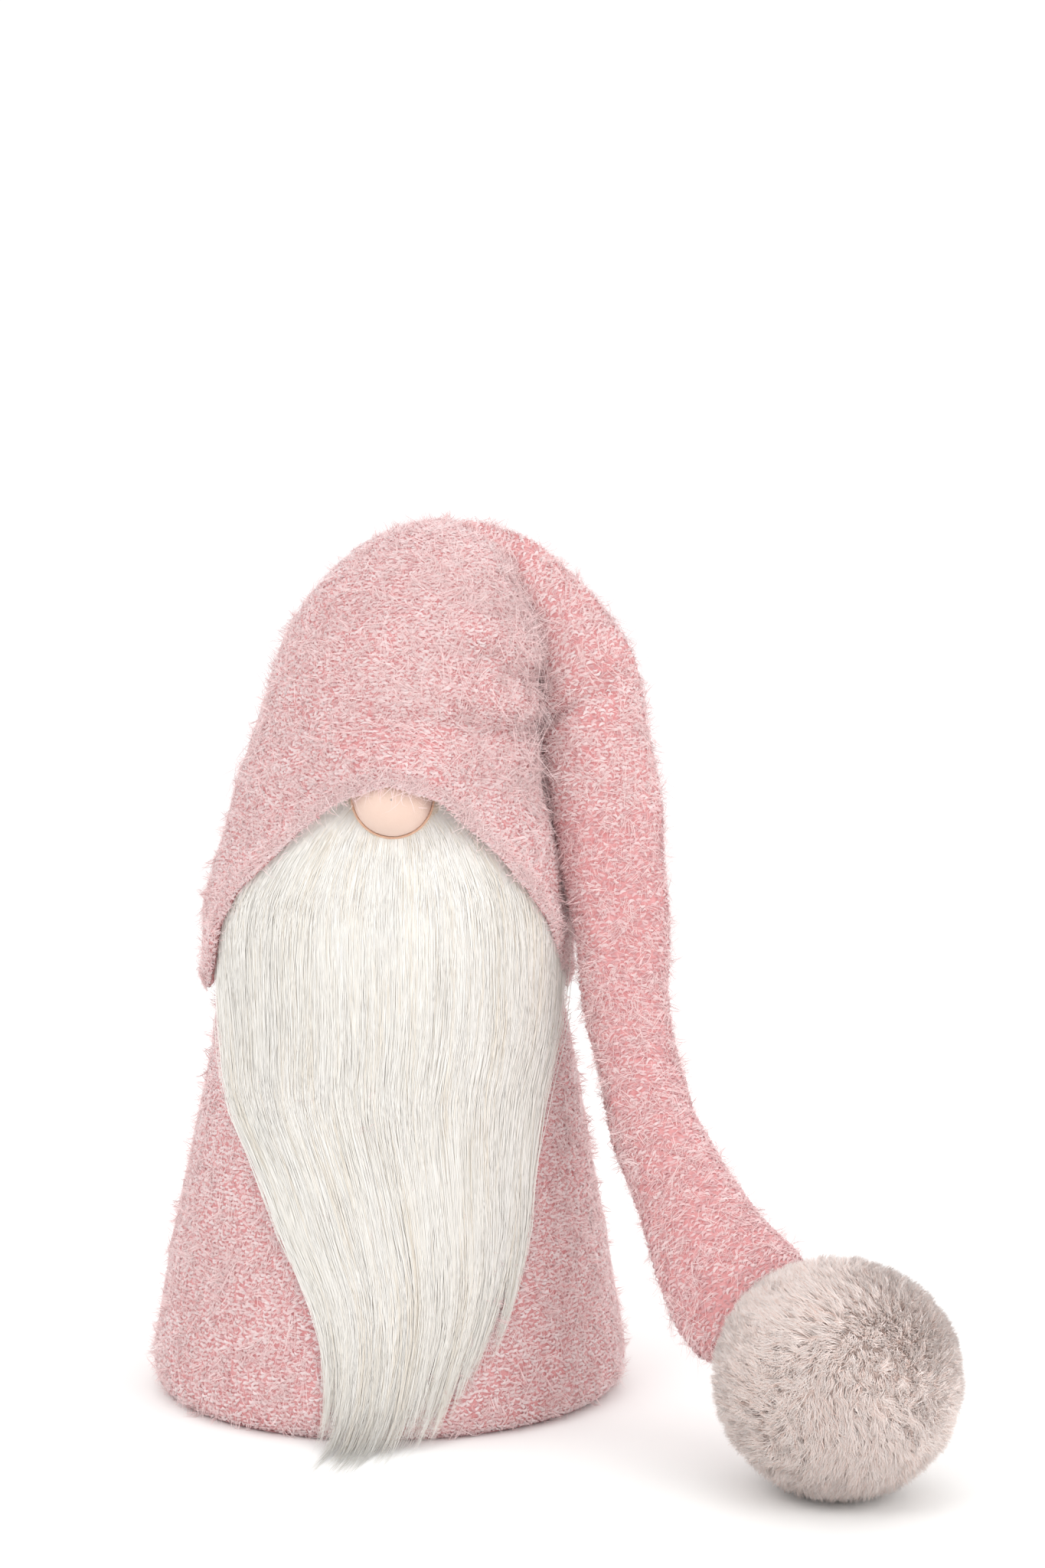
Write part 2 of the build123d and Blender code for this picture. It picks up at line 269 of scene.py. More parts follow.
def tail_at(turn, along):
    """Point of the tail's tube: turn round it, along it from the crown."""
    here = tail_line(along)
    ahead = tail_line(np.clip(along + 2, 0, tail_line.length))
    behind = tail_line(np.clip(along - 2, 0, tail_line.length))
    way = unit(ahead[..., :3] - behind[..., :3])
    side = unit(np.cross(np.broadcast_to([0.0, 1.0, 0.0], way.shape), way))
    front = np.cross(way, side)
    across, deep = here[..., 3], here[..., 4]
    girth = turn * 26
    uneven = 1.5 * ripple(girth * np.cos(turn), along, 21, low=0.03, high=0.08)
    kink = tail_marks[4] + 14
    facing = np.clip(-np.sin(turn), 0, 1)
    inner = np.clip(0.4 + np.cos(turn), 0, 1)
    crease = -8.0 * np.exp(-((along - kink - 14 * np.cos(turn)) / 7) ** 2) * np.clip(facing + inner, 0, 1)
    bulge = 4.0 * np.exp(-((along - kink + 20) / 13) ** 2) * facing
    upper = -7.5 * np.exp(-((along - tail_marks[2] - 2 - 14 * np.cos(turn)) / 6) ** 2) * facing
    slump = 1.6 * np.sin((along - kink) / 15 + turn) * np.clip((along - kink) / 60, 0, 1)
    grow = uneven * 0.6 + crease + bulge + upper + slump * 0.5
    return (here[..., :3] + side * ((across + grow) * np.cos(turn))[..., None]
            + front * ((deep + 0.6 * grow) * np.sin(turn))[..., None])


def skin_frame(surface, turn, along):
    """Points with their directions round, along and out of a surface."""
    turned, moved = 0.006, 0.8
    point = surface(turn, along)
    around = unit(surface(turn + turned, along) - surface(turn - turned, along))
    up = unit(surface(turn, along + moved) - surface(turn, along - moved))
    out = unit(np.cross(around, up))
    return point, around, up, out


# ---------------------------------------------------------------- materials
def linear(red, green, blue):
    """A colour given as 0-255 values, as the shader needs it."""
    values = []
    for part in (red, green, blue):
        part = part / 255
        values.append(part / 12.92 if part <= 0.04045 else ((part + 0.055) / 1.055) ** 2.4)
    return (*values, 1.0)


def surface_material(name, light, dark, scale, rough=0.9, bump=0.4, fine=None, sheen=0.0, spots=0.5):
    """Cloth whose colour and height vary by two sizes of noise."""
    material = bpy.data.materials.new(name)
    material.use_nodes = True
    nodes, links = material.node_tree.nodes, material.node_tree.links
    shader = nodes["Principled BSDF"]
    shader.inputs["Sheen Weight"].default_value = sheen
    shader.inputs["Sheen Roughness"].default_value = 0.5
    shader.inputs["Specular IOR Level"].default_value = 0.2
    place = nodes.new("ShaderNodeTexCoord")
    large = nodes.new("ShaderNodeTexNoise")
    large.inputs["Scale"].default_value = scale
    large.inputs["Detail"].default_value = 4
    small = nodes.new("ShaderNodeTexVoronoi")
    small.inputs["Scale"].default_value = fine or scale * 6
    mix = nodes.new("ShaderNodeMix")
    mix.data_type = "RGBA"
    mix.inputs["A"].default_value = dark
    mix.inputs["B"].default_value = light
    ramp = nodes.new("ShaderNodeMapRange")
    ramp.inputs["From Min"].default_value = 0.5 - spots * 0.5
    ramp.inputs["From Max"].default_value = 0.5 + spots * 0.5
    lift = nodes.new("ShaderNodeBump")
    lift.inputs["Strength"].default_value = bump
    lift.inputs["Distance"].default_value = 0.0012
    wear = nodes.new("ShaderNodeMapRange")
    wear.inputs["To Min"].default_value = rough - 0.08
    wear.inputs["To Max"].default_value = min(rough + 0.08, 1)
    links.new(place.outputs["Object"], large.inputs["Vector"])
    links.new(place.outputs["Object"], small.inputs["Vector"])
    links.new(large.outputs["Fac"], ramp.inputs["Value"])
    links.new(ramp.outputs["Result"], mix.inputs["Factor"])
    links.new(mix.outputs["Result"], shader.inputs["Base Color"])
    links.new(small.outputs["Distance"], lift.inputs["Height"])
    links.new(lift.outputs["Normal"], shader.inputs["Normal"])
    links.new(large.outputs["Fac"], wear.inputs["Value"])
    links.new(wear.outputs["Result"], shader.inputs["Roughness"])
    return material


def weave_material(name, light, dark, pitch, rough=0.85):
    """Plain woven cloth: two crossed sets of threads."""
    material = surface_material(name, light, dark, 60, rough)
    nodes, links = material.node_tree.nodes, material.node_tree.links
    place = nodes["Texture Coordinate"]
    heights = []
    for direction in ("X", "Z"):
        threads = nodes.new("ShaderNodeTexWave")
        threads.bands_direction = direction
        threads.inputs["Scale"].default_value = 1000 / pitch / 20 * math.pi
        threads.inputs["Distortion"].default_value = 0.4
        links.new(place.outputs["Object"], threads.inputs["Vector"])
        heights.append(threads.outputs["Fac"])
    crossed = nodes.new("ShaderNodeMath")
    crossed.operation = "MAXIMUM"
    links.new(heights[0], crossed.inputs[0])
    links.new(heights[1], crossed.inputs[1])
    links.new(crossed.outputs["Value"], nodes["Bump"].inputs["Height"])
    return material


def fibre_material(name, colour, rough=0.75, sheen=0.3):
    """One dye lot of yarn or fur. A piece mixes several of them, fibre by fibre."""
    material = bpy.data.materials.new(name)
    material.use_nodes = True
    shader = material.node_tree.nodes["Principled BSDF"]
    shader.inputs["Base Color"].default_value = colour
    shader.inputs["Roughness"].default_value = rough
    shader.inputs["Sheen Weight"].default_value = sheen
    shader.inputs["Sheen Roughness"].default_value = 0.4
    shader.inputs["Specular IOR Level"].default_value = 0.25
    return material


# The ground cloth under the stitches is darker and redder than the yarn: painted shade in the gaps between
# stitches.
KNIT_GROUND_PAINTED_SHADE = surface_material("knit_ground_painted_shade", linear(218, 164, 164), linear(200, 130, 131), 180,
                               fine=420, bump=0.6)
# The last, deepest yarn is scattered thinly through every knit and makes up much of the tail's end, where
# it is painted shade.
YARNS = [fibre_material("yarn_pale", linear(231, 212, 212)),
         fibre_material("yarn_pink", linear(227, 200, 200)),
         fibre_material("yarn_rose", linear(221, 184, 185)),
         fibre_material("yarn_deep_tone_and_painted_shade", linear(206, 158, 160))]
FUZZ = [fibre_material("fuzz_white", linear(236, 215, 214), sheen=0.2),
        fibre_material("fuzz_pink", linear(233, 205, 204), sheen=0.2),
        fibre_material("fuzz_rose", linear(229, 194, 194), sheen=0.2)]
BEARD_HAIR = [fibre_material("beard_white", linear(232, 229, 224), 0.6),
              fibre_material("beard_cream", linear(230, 226, 219), 0.6),
              fibre_material("beard_shade", linear(226, 218, 206), 0.6)]
POMPOM_HAIR = [fibre_material("pompom_light", linear(253, 241, 236), 0.8, 0.15),
               fibre_material("pompom_mid", linear(252, 236, 229), 0.8, 0.15),
               fibre_material("pompom_deep", linear(243, 217, 207), 0.8, 0.15)]


# ---------------------------------------------------------------- mesh making
def make_mesh(name, points, faces, materials, slots=None):
    """An object from points in millimetres and faces that all have the same number of corners."""
    mesh = bpy.data.meshes.new(name)
    points = np.ascontiguousarray(points.reshape(-1, 3) * MM, np.float32)
    faces = np.ascontiguousarray(faces, np.int32)
    mesh.vertices.add(len(points))
    mesh.vertices.foreach_set("co", points.ravel())
    mesh.loops.add(faces.size)
    mesh.loops.foreach_set("vertex_index", faces.ravel())
    mesh.polygons.add(len(faces))
    mesh.polygons.foreach_set("loop_start", np.arange(0, faces.size, faces.shape[1], dtype=np.int32))
    mesh.polygons.foreach_set("use_smooth", np.ones(len(faces), bool))
    for material in materials:
        mesh.materials.append(material)
    if slots is not None:
        mesh.polygons.foreach_set("material_index", np.asarray(slots, np.int32))
    mesh.update(calc_edges=True)
    piece = bpy.data.objects.new(name, mesh)
    bpy.context.scene.collection.objects.link(piece)
    return piece


def grid_faces(rows, columns, wrap):
    """Quads of a grid of points, row by row, closed round if wrap is set."""
    row, column = np.meshgrid(np.arange(rows - 1), np.arange(columns if wrap else columns - 1),
                              indexing="ij")
    after = (column + 1) % columns
    corners = [row * columns + column, row * columns + after,
               (row + 1) * columns + after, (row + 1) * columns + column]
    return np.stack([c.ravel() for c in corners], axis=1)


def strands(name, paths, widths, facing, materials, tints, normals=None):
    """Tapered ribbons: paths is (count, points, 3). Each ribbon faces one direction, and may be
    shaded by the normals of the skin that it lies on, as a dense smooth coat is."""
    count, steps, _ = paths.shape
    way = unit(np.gradient(paths, axis=1))
    side = unit(np.cross(way, np.broadcast_to(facing[:, None, :], way.shape)))
    share = np.linspace(0, 1, steps)
    half = widths[:, None] * 0.5 * (1 - 0.85 * share ** 2)[None, :]
    left = paths - side * half[..., None]
    right = paths + side * half[..., None]
    points = np.empty((count, 2 * steps - 1, 3))
    points[:, 0:-1:2] = left[:, :-1]
    points[:, 1::2] = right[:, :-1]
    points[:, -1] = paths[:, -1]
    first = []
    for k in range(steps - 2):
        first += [(2 * k, 2 * k + 1, 2 * k + 3), (2 * k, 2 * k + 3, 2 * k + 2)]
    first.append((2 * steps - 4, 2 * steps - 3, 2 * steps - 2))
    first = np.array(first)
    faces = (first[None] + (np.arange(count) * (2 * steps - 1))[:, None, None]).reshape(-1, 3)
    piece = make_mesh(name, points, faces, materials, np.repeat(tints, len(first)))
    if normals is not None:
        shading = np.empty_like(points)
        shading[:, 0:-1:2] = normals[:, :-1]
        shading[:, 1::2] = normals[:, :-1]
        shading[:, -1] = normals[:, -1]
        piece.data.normals_split_custom_set_from_vertices(unit(shading.reshape(-1, 3)).tolist())
    return piece


def spikes(name, paths, widths, materials, tints, normals):
    """Tapered three-sided hairs: paths is (count, points, 3). Their shading mixes their own roundness
    with the normals (count, 3) of the ball that they stand on."""
    roundness = 0.6
    count, steps, _ = paths.shape
    way = unit(np.gradient(paths, axis=1))
    side = unit(np.cross(way, np.broadcast_to(unit(RNG.normal(0, 1, (count, 1, 3))), way.shape)))
    third = np.cross(way, side)
    share = np.linspace(0, 1, steps)
    half = (widths[:, None] * 0.5 * (1 - 0.5 * share)[None, :])[..., None]
    rings, shading = [], []
    for step in range(steps - 1):
        for corner in range(3):
            angle = corner * 2 * math.pi / 3
            out = side[:, step] * math.cos(angle) + third[:, step] * math.sin(angle)
            rings.append(paths[:, step] + half[:, step] * out)
            shading.append(roundness * out + normals)
    rings.append(paths[:, -1])
    shading.append(normals)
    points = np.stack(rings, axis=1)
    faces = []
    for step in range(steps - 2):
        for corner in range(3):
            low, after = 3 * step + corner, 3 * step + (corner + 1) % 3
            faces += [(low, after, after + 3), (low, after + 3, low + 3)]
    last = 3 * (steps - 2)
    faces += [(last + c, last + (c + 1) % 3, last + 3) for c in range(3)]
    faces = np.array(faces)
    every = (faces[None] + (np.arange(count) * points.shape[1])[:, None, None]).reshape(-1, 3)
    piece = make_mesh(name, points, every, materials, np.repeat(tints, len(faces)))
    shading = np.stack(shading, axis=1).reshape(-1, 3)
    piece.data.normals_split_custom_set_from_vertices(unit(shading).tolist())
    return piece


def stitches(name, surface, turn, along, shades):
    """Loops of yarn: a short bowed tube for each stitch, lying on a surface."""
    half_long, half_thick, sunk = 2.15, 0.92, 0.55
    corners, places = 4, (-1.0, -0.36, 0.36, 1.0)
    point, around, up, out = skin_frame(surface, turn, along)
    count = len(turn)
    tilt = np.tan(RNG.normal(0, 0.36, count).clip(-1.1, 1.1))[:, None]
    across = unit(around + up * tilt)
    upward = unit(np.cross(out, across))
    scale = RNG.uniform(0.72, 1.2, count)
    bow = RNG.uniform(0.3, 1.5, count) * RNG.choice([-1, 1], count, p=[0.3, 0.7])
    rise = RNG.uniform(0.9, 1.6, count)
    rings, shading = [], []
    for place in places:
        lift = rise * (1 - place * place) - sunk
        middle = (point + across * (place * half_long * scale)[:, None]
                  + upward * (bow * (place * place - 0.4))[:, None] + out * lift[:, None])
        thick = (half_thick - 0.34 * abs(place) ** 3) * scale
        for corner in range(corners):
            angle = corner * 2 * math.pi / corners
            way = upward * math.cos(angle) + out * math.sin(angle)
            rings.append(middle + way * thick[:, None])
            shading.append(unit(way * 0.75 + out * 0.6))
    points = np.stack(rings, axis=1)
    faces = grid_faces(len(places), corners, True)
    every = (faces[None] + (np.arange(count) * points.shape[1])[:, None, None]).reshape(-1, 4)
    tints = RNG.choice(len(YARNS), count, p=shades)
    piece = make_mesh(name, points, every, YARNS, np.repeat(tints, len(faces)))
    shading = np.stack(shading, axis=1).reshape(-1, 3)
    piece.data.normals_split_custom_set_from_vertices(shading.tolist())
    return piece


def fuzz(name, surface, turn, along, gather, length=11.0, lift=2.2, width=0.2, floor=None,
         combed=None):
    """Loose brushed hairs that curl over a surface. Each place grows a small bunch, whose hairs
    lean together at their tips as much as gather says, 0 to 1. Combed hairs all take one way."""
    point, around, up, out = skin_frame(surface, turn, along)
    bunch, scatter = 6, 3.4
    places = len(turn)
    count = places * bunch
    own = np.repeat(np.arange(places), bunch)
    heading = RNG.uniform(0, 2 * math.pi, places)
    if combed is not None:
        heading = combed + RNG.normal(0, 0.35, places)
    heading = heading[own] + RNG.normal(0, 0.9, count) * (1 - gather[own])
    reach = length * RNG.lognormal(0, 0.35, places).clip(0.5, 2.2)[own]
    reach = reach * RNG.uniform(0.75, 1.25, count)
    rise = lift * (0.5 + 3.4 * gather[own] ** 2) * RNG.uniform(0.7, 1.3, count)
    dx, dy = RNG.normal(0, scatter, (2, count)) * (1 - 0.3 * gather[own])
    point, around, up, out = point[own], around[own], up[own], out[own]
    first = around * np.cos(heading)[:, None] + up * np.sin(heading)[:, None]
    heading = heading + RNG.normal(0, 0.8, count)
    second = around * np.cos(heading)[:, None] + up * np.sin(heading)[:, None]
    root = point + around * dx[:, None] + up * dy[:, None]
    path = []
    for part in (0, 0.33, 0.67, 1.0):
        curl = 1 - gather[own]
        level = 0.8 + rise * (curl * math.sin(math.pi * min(part * 0.8, 1))
                              + gather[own] * part)
        near = (gather[own] * 0.85 * part ** 1.2)[:, None]
        base = root * (1 - near) + point * near
        path.append(base + first * (reach * part * (1 - 0.45 * part))[:, None]
                    + second * (reach * 0.5 * part * part * curl)[:, None] + out * level[:, None])
    path = np.stack(path, axis=1)
    if floor is not None:
        path[..., 2] = np.maximum(path[..., 2], floor)
    facing = unit(out + 0.3 * RNG.normal(0, 1, (count, 3)))
    tints = RNG.choice(len(FUZZ), count, p=[0.4, 0.4, 0.2])
    widths = RNG.uniform(0.7, 1.4, count) * width * (1 + 0.7 * gather[own])
    return strands(name, path, widths, facing, FUZZ, tints)


def knit_rows(circumference, low, high, shift=None):
    """Turn and distance of every stitch in level rows between two distances along a surface."""
    turns, alongs = [], []
    for index, along in enumerate(np.arange(low, high, STITCH_HIGH)):
        count = max(int(circumference(along) / STITCH_WIDE), 6)
        turn = (np.arange(count) + 0.5 * (index % 2)) * 2 * math.pi / count
        turn = turn + RNG.normal(0, 0.22, count) * 2 * math.pi / count
        here = along + RNG.normal(0, 0.62, count) + 1.2 * np.sin(turn * 3 + along / 30)
        turns.append(turn)
        alongs.append(here if shift is None else here + shift(turn, here))
    return np.concatenate(turns), np.concatenate(alongs)


def in_parts(count, share):
    """Slices that cut a list into pieces of at most share items."""
    parts = max(math.ceil(count / share), 1)
    edges = np.linspace(0, count, parts + 1).astype(int)
    return [slice(a, b) for a, b in zip(edges, edges[1:])]


def dress(prefix, surface, turn, along, hair_turn, hair_along, attach, shades=(0.33, 0.42, 0.2, 0.05),
          **hair):
    """Stitches and fuzz on one knitted surface, cut into pieces, each given to attach."""
    made = []
    order = np.argsort(along)
    for index, part in enumerate(in_parts(len(turn), MAX_STITCHES)):
        pick = order[part]
        made.append(stitches(f"{prefix}_stitches_{index + 1}", surface, turn[pick], along[pick],
                             shades))
    order = np.argsort(hair_along)
    gather = (RNG.uniform(0, 1, len(hair_turn)) < 0.3) * RNG.uniform(0.55, 1.0, len(hair_turn))
    for index, part in enumerate(in_parts(len(hair_turn), MAX_BUNCHES)):
        pick = order[part]
        made.append(fuzz(f"{prefix}_fuzz_{index + 1}", surface, hair_turn[pick],
                         hair_along[pick], gather[pick], **hair))
    for piece in made:
        attach(piece)


# ---------------------------------------------------------------- camera, light and floor
def make_camera():
    """The viewpoint: level with the crown, a little to the gnome's left, tilted down, with a long lens."""
    data = bpy.data.cameras.new("camera")
    data.lens = 70
    data.sensor_width = 36
    camera = bpy.data.objects.new("camera", data)
    camera.location = (0.091, -2.070, 0.581)
    camera.rotation_euler = (math.radians(90 - 4.7), 0, 0)
    bpy.context.scene.collection.objects.link(camera)
    bpy.context.scene.camera = camera


def soft_light(name, place, target, size, power):
    """A large square lamp."""
    data = bpy.data.lights.new(name, "AREA")
    data.shape = "SQUARE"
    data.size = size
    data.energy = power
    lamp = bpy.data.objects.new(name, data)
    lamp.location = place
    lamp.rotation_euler = (Vector(target) - Vector(place)).to_track_quat("-Z", "Y").to_euler()
    bpy.context.scene.collection.objects.link(lamp)


def make_studio():
    """White surround, three soft lamps and a pale floor."""
    world = bpy.data.worlds.new("studio")
    world.use_nodes = True
    world.node_tree.nodes["Background"].inputs["Color"].default_value = (1, 1, 1, 1)
    world.node_tree.nodes["Background"].inputs["Strength"].default_value = 1.0
    bpy.context.scene.world = world
    bpy.context.scene.view_settings.view_transform = "Standard"
    bpy.context.scene.view_settings.exposure = 0.12
    middle = (0.05, -0.05, 0.3)
    soft_light("key", (-1.3, -1.6, 1.9), middle, 1.2, 13)
    soft_light("fill", (1.6, -1.4, 1.0), middle, 1.4, 12)
    soft_light("top", (0.2, 0.4, 2.2), middle, 1.4, 4)
    floor_material = surface_material("floor", linear(250, 250, 249), linear(247, 247, 246), 3,
                                      bump=0.02)
    reach = np.linspace(-1, 1, 9) * 4000
    x, y = np.meshgrid(reach, reach)
    points = np.stack([x, y, np.zeros_like(x)], axis=-1)
    floor = make_mesh("floor", points, grid_faces(9, 9, False), [floor_material])


# ---------------------------------------------------------------- the pieces
def make_body():
    """Knit cover of the body: the ground cloth, its stitches and its fuzz."""
    turn, along = np.meshgrid(np.linspace(0, 2 * math.pi, 220, endpoint=False),
                              np.linspace(0, body_line.length, 96))
    ground = make_mesh("body_knit", body_at(turn, along), grid_faces(*turn.shape, True),
                       [KNIT_GROUND_PAINTED_SHADE])
    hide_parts("body_cover")
    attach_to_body(ground, "root")

    def girth(at):
        return 2 * math.pi * body_line(at)[0]

    first_row, bunches, wisps = 14, 6500, 520
    rows = knit_rows(girth, first_row, body_line.length - 0.5)
    narrowing = 0.6
    spread = 1 - np.sqrt(1 - RNG.uniform(0, 1, bunches) * narrowing)
    hair_reach = (body_line.length - 40) / (1 - math.sqrt(1 - narrowing))
    hair_along = first_row + hair_reach * spread
    dress("body", body_at, *rows, RNG.uniform(0, 2 * math.pi, bunches), hair_along,
          lambda piece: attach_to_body(piece, "root"), floor=FLOOR_CLEAR)
    combed = fuzz("body_wisps", body_at, RNG.uniform(0, 2 * math.pi, wisps),
                  RNG.uniform(40, body_line.length - 60, wisps), RNG.uniform(0.5, 0.8, wisps),
                  length=30, lift=0.5, width=0.22, floor=FLOOR_CLEAR, combed=-math.pi / 2)
    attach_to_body(combed, "root")


def make_head():
    """Plain woven dome that the cap is pulled over."""
    cloth = weave_material("head_weave", linear(226, 212, 202), linear(214, 198, 188), 1.1)
    turn, along = np.meshgrid(np.linspace(0, 2 * math.pi, 128, endpoint=False),
                              np.linspace(0, head_line.length, 90))
    points = head_at(turn, along)
    dome = make_mesh("head_cloth", points, grid_faces(*turn.shape, True), [cloth])
    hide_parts("head_cover")
    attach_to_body(dome, "root")


def make_hat():
    """The cap: outside, rolled edge and inside as one skin, then stitches and fuzz."""
    turn = np.linspace(0, 2 * math.pi, 240, endpoint=False)
    edge = hat_along(brim_height(turn))
    rows = []
    for share in np.linspace(0, 1, 90):
        rows.append(hat_at(turn, edge + share * (hat_line.length - edge)))
    outside = np.array(rows)
    first, _, _, out = skin_frame(hat_at, turn, edge)
    roll = []
    for angle in np.linspace(0.6, math.pi, 6)[::-1]:
        drop = EDGE_ROLL * math.sin(angle)
        roll.append(first - out * (EDGE_ROLL * (0.8 - math.cos(angle))) - np.array([0, 0, drop]))
    inner, thickness = [], 4.2
    for share in np.linspace(0.02, 1, 40)[::-1]:
        along = edge + share * (hat_line.length - edge)
        point, _, _, way = skin_frame(hat_at, turn, np.minimum(along, hat_line.length - 1))
        inner.append(point - way * thickness - np.array([0, 0, 1.5]) * share)
    grid = np.concatenate([np.array(inner), np.array(roll), outside])
    ground = make_mesh("hat_knit", grid, grid_faces(*grid.shape[:2], True), [KNIT_GROUND_PAINTED_SHADE])
    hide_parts("hat_shell")
    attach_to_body(ground, "hat")
    lowest = float(edge.min())

    def girth(at):
        return 2 * math.pi * hat_line(at)[0]

    def follow_brim(angle, along):
        rise = hat_along(brim_height(angle)) - lowest
        return 0.45 * rise * np.exp(-(along - lowest) / 180)

    row_turn, row_along = knit_rows(girth, lowest, hat_line.length - 2, follow_brim)
    keep = row_along > hat_along(brim_height(row_turn)) + 1.0
    row_turn, row_along = row_turn[keep], row_along[keep]
    edge_count = int(2 * math.pi * EDGE_RADIUS / EDGE_STITCH)
    edge_turn = np.linspace(0, 2 * math.pi, edge_count, endpoint=False)
    edge_along = hat_along(brim_height(edge_turn))
    row_turn = np.concatenate([row_turn, edge_turn, edge_turn + 0.01, edge_turn])
    row_along = np.concatenate([row_along, edge_along + 0.4, edge_along - 1.6, edge_along - 3.0])
    bunches, edge_hairs, strays = 9000, 1500, 620
    hair_turn = RNG.uniform(0, 2 * math.pi, bunches)
    spread = RNG.uniform(0, 1, bunches) ** 0.9
    hair_edge = hat_along(brim_height(hair_turn))
    hair_along = hair_edge + 1.5 + spread * (hat_line.length - 5 - hair_edge)
    keep = RNG.uniform(0, 1, bunches) < np.maximum(hat_line(hair_along)[:, 0] / 127, 0.12)
    dress("hat", hat_at, row_turn, row_along, hair_turn[keep], hair_along[keep],
          lambda piece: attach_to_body(piece, "hat"))
    edge_turn = RNG.uniform(0, 2 * math.pi, edge_hairs)
    edge_fuzz = fuzz("hat_edge_fuzz", hat_at, edge_turn,
                     hat_along(brim_height(edge_turn)) + RNG.uniform(0, 4, edge_hairs),
                     RNG.uniform(0.0, 0.5, edge_hairs), length=7, lift=2.4, width=0.22)
    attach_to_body(edge_fuzz, "hat")
    stray_turn = np.concatenate([RNG.uniform(0, 2 * math.pi, strays // 2),
                                 RNG.normal(-0.35, 0.3, strays - strays // 2)])
    stray = fuzz("hat_strays", hat_at, stray_turn, hat_along(RNG.uniform(400, 560, strays)),
                 RNG.uniform(0.0, 0.3, strays), length=32, lift=5, width=0.24)
    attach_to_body(stray, "hat")


def make_tail():
    """The tail in two stretches of knit tube that meet at one section."""
    split = tail_marks[TAIL_SPLIT]
    stretches = [
        ("tail_top", 0, split, "tail_upper", ("hat", "tail_upper"), (0.045, 0, 0.572),
         (0.118, -0.008, 0.535), TAIL_TOP_FLAT, (0.2, 0.4, 0.3, 0.1)),
        # The end of the tail is stitched mostly in rose and the deepest yarn: painted shade on its low,
        # hanging stretch.
        ("tail_end", split, tail_line.length, "tail_lower", ("tail_upper", "tail_lower"),
         (0.157, -0.052, 0.312), (0.163, -0.078, 0.248), TAIL_END_FLAT, (0.0, 0.15, 0.4, 0.45)),
    ]
    for name, low, high, node, bodies, start, end, flat, shades in stretches:
        steps = max(int((high - low) / 2.4), 10)
        turn, along = np.meshgrid(np.linspace(0, 2 * math.pi, 72, endpoint=False),
                                  np.linspace(low, high, steps))
        ground = make_mesh(name + "_knit", tail_at(turn, along), grid_faces(*turn.shape, True),
                           [KNIT_GROUND_PAINTED_SHADE])

        def attach(piece):
            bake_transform(piece)

        attach(ground)
        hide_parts(node)

        def girth(at):
            across, deep = tail_line(at)[3:5]
            return 2 * math.pi * math.sqrt((across * across + deep * deep) / 2)

        first_row = low + (30 if low == 0 else 0)
        rows = knit_rows(girth, first_row, high - 1.5)
        bunches = int((7.0 if name == "tail_top" else 4.5) * (high - first_row))
        hair_turn = RNG.uniform(0, 2 * math.pi, bunches)
        hair_along = RNG.uniform(first_row, high - 4, bunches)
        dress(name, tail_at, *rows, hair_turn, hair_along, attach, shades=shades)


def make_nose():
    """Stuffed cloth ball, a little flat in front and drawn in at the back."""
    cloth = surface_material("nose_fleece", linear(224, 198, 184), linear(221, 192, 177), 90,
                             fine=900, bump=0.12, sheen=0.4, spots=1.0)
    tone = cloth.node_tree.nodes
    links = cloth.node_tree.links
    # Painted shade: the colour turns to a deep tan with distance from a point in front of the ball,
    # darkening its sides and back.
    rim = tone.new("ShaderNodeVectorMath")
    rim.operation = "DISTANCE"
    rim.inputs[1].default_value = tuple(NOSE * MM + np.array([0, -0.035, 0]))
    shade = tone.new("ShaderNodeMapRange")
    shade.inputs["From Min"].default_value = 0.030
    shade.inputs["From Max"].default_value = 0.058
    painted_shade_blend = tone.new("ShaderNodeMix")
    painted_shade_blend.data_type = "RGBA"
    painted_shade_blend.inputs["B"].default_value = linear(208, 152, 124)
    links.new(tone["Texture Coordinate"].outputs["Object"], rim.inputs[0])
    links.new(rim.outputs["Value"], shade.inputs["Value"])
    links.new(shade.outputs["Result"], painted_shade_blend.inputs["Factor"])
    links.new(tone["Mix"].outputs["Result"], painted_shade_blend.inputs["A"])
    links.new(painted_shade_blend.outputs["Result"], tone["Principled BSDF"].inputs["Base Color"])
    turn, tilt = np.meshgrid(np.linspace(0, 2 * math.pi, 96, endpoint=False),
                             np.linspace(0.02, 0.72 * math.pi, 64))
    radius = NOSE_RADIUS * np.sin(tilt)
    pucker = 0.25 * np.sin(turn * 17) * np.clip((tilt - 1.5) / 0.5, 0, 1)
    radius = radius + pucker + 0.25 * ripple(radius * np.cos(turn), radius * np.sin(turn), 5)
    front = NOSE_RADIUS * (0.985 * np.cos(tilt) - 0.008 * np.cos(3 * tilt))
    points = np.stack([NOSE[0] + radius * np.cos(turn), NOSE[1] - front,
                       NOSE[2] + radius * np.sin(turn)], axis=-1)
    nose = make_mesh("nose_ball", points, grid_faces(*turn.shape, True), [cloth])
    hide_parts("nose_cover")
    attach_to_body(nose, "root")


def beard_height(down):
    """Height of a place that far down the beard's fall."""
    return BEARD_TOP - down * BEARD_SLOPE


